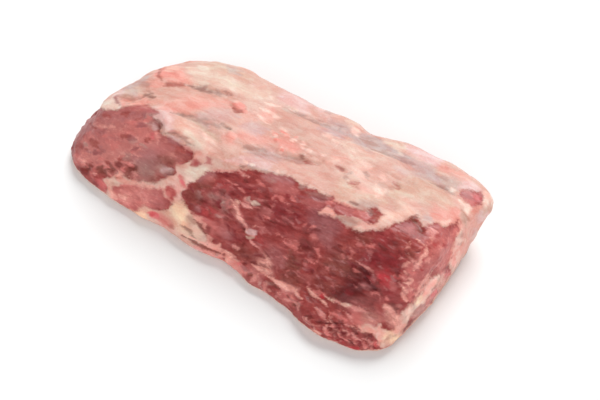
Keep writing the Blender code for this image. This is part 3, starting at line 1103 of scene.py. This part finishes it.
def away_from(side, half_width, route, reach):
    """Distance from a brush mark that thins towards its ends, as a count of its half width."""
    curve = smooth_route(route)
    along = np.linspace(0.0, 1.0, len(curve))
    fullness = np.minimum(1.0, THIN_END + (1 - THIN_END) * np.minimum(along, 1 - along) / THIN_LENGTH)
    return distances(side.plan, curve, half_width * side.units * fullness, reach)


COVER_REACH = 14.0
LINE_REACH = 8.0


def cover_of(side, layers):
    """Depth of the fat's edge at each point, in mm: above 0 is fat, below 0 is lean."""
    cover = np.full(len(side.plan), COVER_REACH)
    for kind, half_width, route in layers:
        if half_width == 0:
            outline = smooth_route((*route, route[0]))
            gap = distances(side.plan, outline, np.full(len(outline), side.units), COVER_REACH)
            inner = np.where(within(side.plan, outline), gap, -gap)
        else:
            inner = half_width * (1 - away_from(side, half_width, route, LINE_REACH / half_width))
        if kind == "fat":
            cover = np.maximum(cover, inner)
        else:
            cover = np.minimum(cover, -inner)
    return cover


WOBBLE_SIZES = (3.0, 7.0, 15.0)
WOBBLE_SHIFT = (2.3, 7.7)
GRAIN_WAY = np.array((0.4, 1.0, 1.0))


def wobbles(points):
    """Seeded noise of a few sizes in mm, for every mesh point."""
    drawn_out = points * GRAIN_WAY
    return {
        size: np.array([noise.noise(Vector(p) / size + Vector((size, *WOBBLE_SHIFT))) for p in drawn_out])
        for size in WOBBLE_SIZES
    }


# Bend in mm by the small and the large wobble. Downwards the small one is that of a point some places on.
BEND = (1.2, 3.0)
PLACES_ON = 7


def bent(side, wobble):
    """The side with its plan bent a little, so that no mark keeps a drawn edge."""
    small, large = (wobble[size] for size in WOBBLE_SIZES[:2])
    across = BEND[0] * small + BEND[1] * large
    down = BEND[0] * np.roll(small, PLACES_ON) + BEND[1] * wobble[WOBBLE_SIZES[2]]
    return Side(side.plan + side.units * np.stack([across, down], 1), side.units, side.share)


def nearest_wobble(wobble, size):
    return wobble[min(WOBBLE_SIZES, key=lambda known: abs(math.log(known / size)))]


MARK_REACH = 2.6
MARK_RAGGED = 1.3
WOBBLE_PER_WIDTH = 1.5
CRISP = (0.4, 1.5)
SOFT = (0.0, 2.0)


def mark_share(side, half_width, route, wobble, edge=CRISP):
    """How fully a brush mark covers each point, from 0 to 1."""
    away = away_from(side, half_width, route, MARK_REACH)
    rough = nearest_wobble(wobble, WOBBLE_PER_WIDTH * half_width)
    ragged = away + MARK_RAGGED * rough * (away < MARK_REACH)
    return 1 - smoothstep(*edge, ragged)


def tint(colour, finish, share):
    colour += (linear(FINISHES[finish]) - colour) * share[:, None]


FLECK_TURN = 24
FLECK_BEND = 0.15
FLECK_LENGTHS = (0.5, 1.4)
FLECK_WIDTHS = (0.6, 1.3)
FLECK_STRENGTHS = (0.45, 0.9)


def flecks(zone, count, seed, half_width, length, slant, rise, finishes):
    """Small marks strewn over a zone of the plan, each turned about the slant, which is in degrees."""
    luck = np.random.default_rng(seed)
    corners = np.array(zone, float)
    strewn = []
    while len(strewn) < count:
        middle = luck.uniform(corners.min(0), corners.max(0))
        turn = math.radians(slant + luck.normal(0, FLECK_TURN))
        reach = 0.5 * length * luck.uniform(*FLECK_LENGTHS) * np.array((math.cos(turn), math.sin(turn)))
        bend = luck.normal(0, FLECK_BEND) * reach[::-1] * (1, -1)
        size = half_width * luck.uniform(*FLECK_WIDTHS)
        finish = finishes[luck.integers(len(finishes))]
        if within(middle[None], corners)[0]:
            route = (middle - reach, middle + bend, middle + reach)
            strewn.append((finish, size, luck.uniform(*FLECK_STRENGTHS), rise, route))
    return strewn


def broad_first(tints):
    return sorted(tints, key=lambda mark: -mark[1])


FOLD_REACH = 3.0


class Painted:
    """What the marks make of each point: cover, height in mm, share of film, and colours as fat and lean."""

    def __init__(self, side, drawn, wobble):
        layers, fat_tints, lean_tints, strewn, streaks, folds = drawn
        side = bent(side, wobble)
        self.cover = cover_of(side, layers)
        self.height = np.zeros(len(side.plan))
        self.film = np.zeros(len(side.plan))
        self.fat = np.tile(linear(FAT_BASE), (len(side.plan), 1))
        self.lean = np.tile(linear(LEAN_BASE), (len(side.plan), 1))
        for finish, half_width, strength, route in broad_first(fat_tints):
            tint(self.fat, finish, strength * mark_share(side, half_width, route, wobble, SOFT))
        for finish, half_width, strength, route in broad_first(lean_tints):
            share = strength * mark_share(side, half_width, route, wobble, SOFT)
            tint(self.lean, finish, share)
            self.film += ((finish in UNDER_FILM) - self.film) * share
        small = [mark for zone in strewn for mark in flecks(*zone)]
        for finish, half_width, strength, rise, route in (*small, *streaks):
            share = mark_share(side, half_width, route, wobble)
            tint(self.fat, finish, strength * share)
            tint(self.lean, finish, strength * share)
            self.height += rise * share
        for half_width, rise, route in folds:
            self.height += rise * np.exp(-0.5 * away_from(side, half_width, route, FOLD_REACH) ** 2)


def painted_all_round(points, normals, wobble):
    """The marks of every side, blended by how strongly each point belongs to it."""
    photo = photo_side(points, normals)
    sides = [photo, *hidden_sides(points, normals, 1 - photo.share)]
    totals = [np.zeros((len(points), width)) for width in (1, 1, 1, 3, 3)]
    for side, drawn in zip(sides, (PHOTO_MARKS, BACK_MARKS, UNDERSIDE_MARKS, THIN_END_MARKS)):
        chosen = side.share > LEAST_SHARE
        near = {size: field[chosen] for size, field in wobble.items()}
        side = side.part(chosen)
        done = Painted(side, drawn, near)
        for total, values in zip(totals, (done.cover, done.height, done.film, done.fat, done.lean)):
            total[chosen] += side.share[:, None] * values.reshape(len(values), -1)
    return *(total[:, 0] for total in totals[:3]), *totals[3:]


# -------------------- meat material

# Noises in the meat: how far each is drawn out along the roll, its scale, detail, roughness and twist.
NOISES = {
    "ragged": (1.0, 170.0, 4.0, 0.6, 0.0),
    "frayed": (0.2, 520.0, 2.0, 0.5, 0.0),
    "crumb": (0.6, 190.0, 4.0, 0.65, 0.4),
    "bundle": (0.35, 240.0, 3.0, 0.6, 0.0),
    "fibre": (0.2, 620.0, 3.0, 0.6, 0.0),
    "marbling": (0.5, 300.0, 4.0, 0.7, 0.5),
    "band": (0.16, 90.0, 3.0, 0.6, 0.0),
    "mottle": (0.5, 110.0, 4.0, 0.65, 0.6),
    "grain": (1.0, 700.0, 3.0, 0.6, 0.0),
}

# How a noise tones the colour: where its rise starts and ends, and the tones that it goes between.
TONES = {
    # crumb is darker where the crumbs' bump is low and lighter where it is high, partly the lean's own
    # mottling and partly painted shade and light
    "crumb": (0.38, 0.62, (0.86, 0.76, 0.76), (1.1, 1.14, 1.14)),
    "bundle": (0.38, 0.62, (0.93, 0.88, 0.88), (1.06, 1.08, 1.08)),
    "fibre": (0.36, 0.64, (0.97, 0.95, 0.95), (1.03, 1.04, 1.04)),
    "marbling": (0.52, 0.68, (0.98, 0.96, 0.96), (1.16, 1.4, 1.36)),
    "band": (0.38, 0.62, (0.98, 0.9, 0.89), (1.02, 1.05, 1.05)),
    "mottle": (0.38, 0.62, (0.98, 0.86, 0.84), (1.03, 1.1, 1.11)),
    "grain": (0.35, 0.65, (0.97, 0.94, 0.94), (1.03, 1.06, 1.06)),
}

# Fat in mm: how ragged, frayed and soft its edge is, and how deep it is before no lean shows through.
RAGGED = 7.0
FRAYED = 2.6
FAT_EDGE = 1.4
THICK_FAT = 2.6
THINNEST, VEILED = 0.5, 0.5
FILM_HIDES = 0.65
LEAN_SHINE, FAT_SHINE, SHINE_SPREAD = 0.36, 0.5, 0.06
DULL, BRIGHT = 0.3, 0.7
CRAG_HEIGHT, FILM_FLATTENS, FIBRE_HEIGHT = 1.6, -1.1, 0.4
MOTTLE_HEIGHT, GRAIN_HEIGHT = 1.2, 0.35
BUMP_STRENGTH, BUMP_HEIGHT = 0.7, 0.6 * MM


class Recipe:
    """Writes a node tree one step at a time."""

    def __init__(self, tree):
        self.tree = tree
        self.tree.nodes.clear()

    def node(self, kind, inputs=None, **settings):
        made = self.tree.nodes.new(kind)
        for name, value in settings.items():
            setattr(made, name, value)
        for socket, value in (inputs or {}).items():
            self.feed(made.inputs[socket], value)
        return made

    def feed(self, socket, value):
        if isinstance(value, bpy.types.NodeSocket):
            self.tree.links.new(value, socket)
        else:
            socket.default_value = value

    def noise(self, place, drawn_out, scale, detail, roughness, twist):
        stretched = self.node("ShaderNodeMapping", {"Vector": place, "Scale": (drawn_out, 1.0, 1.0)})
        inputs = {"Vector": stretched.outputs[0], "Scale": scale, "Detail": detail, "Roughness": roughness}
        return self.node("ShaderNodeTexNoise", inputs | {"Distortion": twist}).outputs["Fac"]

    def math(self, operation, first, second=0.0, third=0.0):
        inputs = {0: first, 1: second, 2: third}
        return self.node("ShaderNodeMath", inputs, operation=operation).outputs[0]

    def sum(self, first, second):
        return self.math("ADD", first, second)

    def times(self, value, factor, more=0.0):
        return self.math("MULTIPLY_ADD", value, factor, more)

    def rise(self, value, low, high, start=0.0, end=1.0):
        inputs = {"Value": value, "From Min": low, "From Max": high, "To Min": start, "To Max": end}
        return self.node("ShaderNodeMapRange", inputs, interpolation_type="SMOOTHSTEP").outputs["Result"]

    def mix(self, share, first, second, blend="MIX"):
        made = self.node("ShaderNodeMix", data_type="RGBA", blend_type=blend)
        for socket, value in {0: share, 6: first, 7: second}.items():
            self.feed(made.inputs[socket], value)
        return made.outputs[2]

    def attribute(self, name, output="Fac"):
        settings = {"attribute_type": "GEOMETRY", "attribute_name": name}
        return self.node("ShaderNodeAttribute", **settings).outputs[output]

    def toned(self, colour, noises, *names):
        """The colour times each noise's first tone where it is low, and its second where it is high."""
        for name in names:
            low, high, dark, light = TONES[name]
            tone = self.mix(self.rise(noises[name], low, high), (*dark, 1.0), (*light, 1.0))
            colour = self.mix(1.0, colour, tone, "MULTIPLY")
        return colour


def raw_meat():
    material = bpy.data.materials.new("raw_meat")
    material.use_nodes = True
    r = Recipe(material.node_tree)
    place = r.node("ShaderNodeTexCoord").outputs["Object"]
    noises = {name: r.noise(place, *values) for name, values in NOISES.items()}
    film = r.attribute("film")

    # Fat or lean, with a ragged edge. Thin fat lets the lean below show through.
    ragged = r.times(noises["ragged"], RAGGED, -RAGGED / 2)
    frayed = r.times(noises["frayed"], FRAYED, -FRAYED / 2)
    edge = r.sum(r.sum(r.attribute("cover"), ragged), frayed)
    fat = r.rise(edge, -FAT_EDGE, FAT_EDGE)
    thick = r.rise(edge, 0.0, THICK_FAT, THINNEST, 1.0)

    # Lean: soft crumbs, bundles of fibres along the roll, and thin lines of marbling. The crumbs' tone,
    # darker in their hollows and lighter on their tops, is partly the lean's own mottling and partly painted
    # shade and light.
    bare = r.attribute("lean_tint", "Color")
    torn = r.toned(bare, noises, "crumb", "bundle")
    lean = r.toned(r.mix(r.times(film, FILM_HIDES), torn, bare), noises, "fibre", "marbling")

    # Fat: long soft bands, mottling, and a fine grain.
    cream = r.toned(r.attribute("fat_tint", "Color"), noises, "band", "mottle", "grain")
    cream = r.mix(thick, r.mix(VEILED, lean, cream), cream)

    crags = r.math("MULTIPLY", noises["crumb"], r.times(film, FILM_FLATTENS, CRAG_HEIGHT))
    lean_height = r.sum(crags, r.times(noises["fibre"], FIBRE_HEIGHT))
    fat_height = r.sum(r.times(noises["mottle"], MOTTLE_HEIGHT), r.times(noises["grain"], GRAIN_HEIGHT))
    height = r.node("ShaderNodeMix", {0: fat, 2: lean_height, 3: fat_height}).outputs[0]
    bump = r.node("ShaderNodeBump", {"Strength": BUMP_STRENGTH, "Distance": BUMP_HEIGHT, "Height": height})
    shine = r.rise(noises["bundle"], DULL, BRIGHT, -SHINE_SPREAD, SHINE_SPREAD)

    shader = r.node("ShaderNodeBsdfPrincipled", {
        "Base Color": r.mix(fat, lean, cream),
        "Roughness": r.sum(r.rise(fat, 0.0, 1.0, LEAN_SHINE, FAT_SHINE), shine),
        "Normal": bump.outputs["Normal"],
        "Subsurface Weight": 0.15,
        "Subsurface Scale": 0.003,
        "Subsurface Radius": (1.0, 0.4, 0.25),
        "Specular IOR Level": 0.25,
        "Coat Weight": 0.06,
        "Coat Roughness": 0.25,
    })
    r.node("ShaderNodeOutputMaterial", {"Surface": shader.outputs[0]})
    return material


# -------------------- the roll


def set_values(mesh, name, values):
    layer = mesh.attributes.new(name, "FLOAT", "POINT")
    layer.data.foreach_set("value", values.astype(np.float32))


def set_colours(mesh, name, colours):
    layer = mesh.attributes.new(name, "FLOAT_COLOR", "POINT")
    opaque = np.concatenate([colours, np.ones((len(colours), 1))], axis=1)
    layer.data.foreach_set("color", opaque.astype(np.float32).ravel())


def read_vectors(items, name):
    values = np.empty(len(items) * 3, np.float32)
    items.foreach_get(name, values)
    return values.reshape(-1, 3).astype(float)


# Heights in mm: of the fat above the lean, and of the crumbly lean's and the soft fat's two noises.
FAT_STEP = 0.9
STEP_REACH = 1.0
LEAN_CRUMBS = (0.9, 1.2)
FAT_SWELLS = (0.3, 0.7)
FILM_CALMS = 0.6
FREE_OF_FLOOR = 6.0


def relief(cover, film, wobble):
    """Height in mm of the fat's step and of the unevenness of lean and fat."""
    fat = smoothstep(-STEP_REACH, STEP_REACH, cover)
    small, large = wobble[WOBBLE_SIZES[0]], wobble[WOBBLE_SIZES[1]]
    crumbs = (1 - FILM_CALMS * film) * (LEAN_CRUMBS[0] * small + LEAN_CRUMBS[1] * large)
    return fat * (FAT_STEP + FAT_SWELLS[0] * small + FAT_SWELLS[1] * large) + (1 - fat) * crumbs


def make_roll(node):
    mesh = finished_mesh(fine_mesh(node), "ribeye_roll")
    points = read_vectors(mesh.vertices, "co") / MM
    normals = read_vectors(mesh.vertex_normals, "vector")
    wobble = wobbles(points)
    cover, height, film, fat_tint, lean_tint = painted_all_round(points, normals, wobble)
    height += relief(cover, film, wobble)
    lift = smoothstep(0.0, FREE_OF_FLOOR, points[:, 2])
    points += normals * (height * lift)[:, None]
    points[:, 2] = np.maximum(0.0, points[:, 2])
    mesh.vertices.foreach_set("co", (points * MM).astype(np.float32).ravel())

    set_values(mesh, "cover", cover)
    set_values(mesh, "film", film)
    set_colours(mesh, "fat_tint", fat_tint)
    set_colours(mesh, "lean_tint", lean_tint)
    mesh.materials.clear()
    mesh.materials.append(raw_meat())
    mesh.shade_smooth()

    roll = new_object("ribeye_roll", mesh)
    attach(roll, "root")
    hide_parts("ribeye")


make_camera()
make_light()
make_floor()
make_roll(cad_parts["ribeye"])
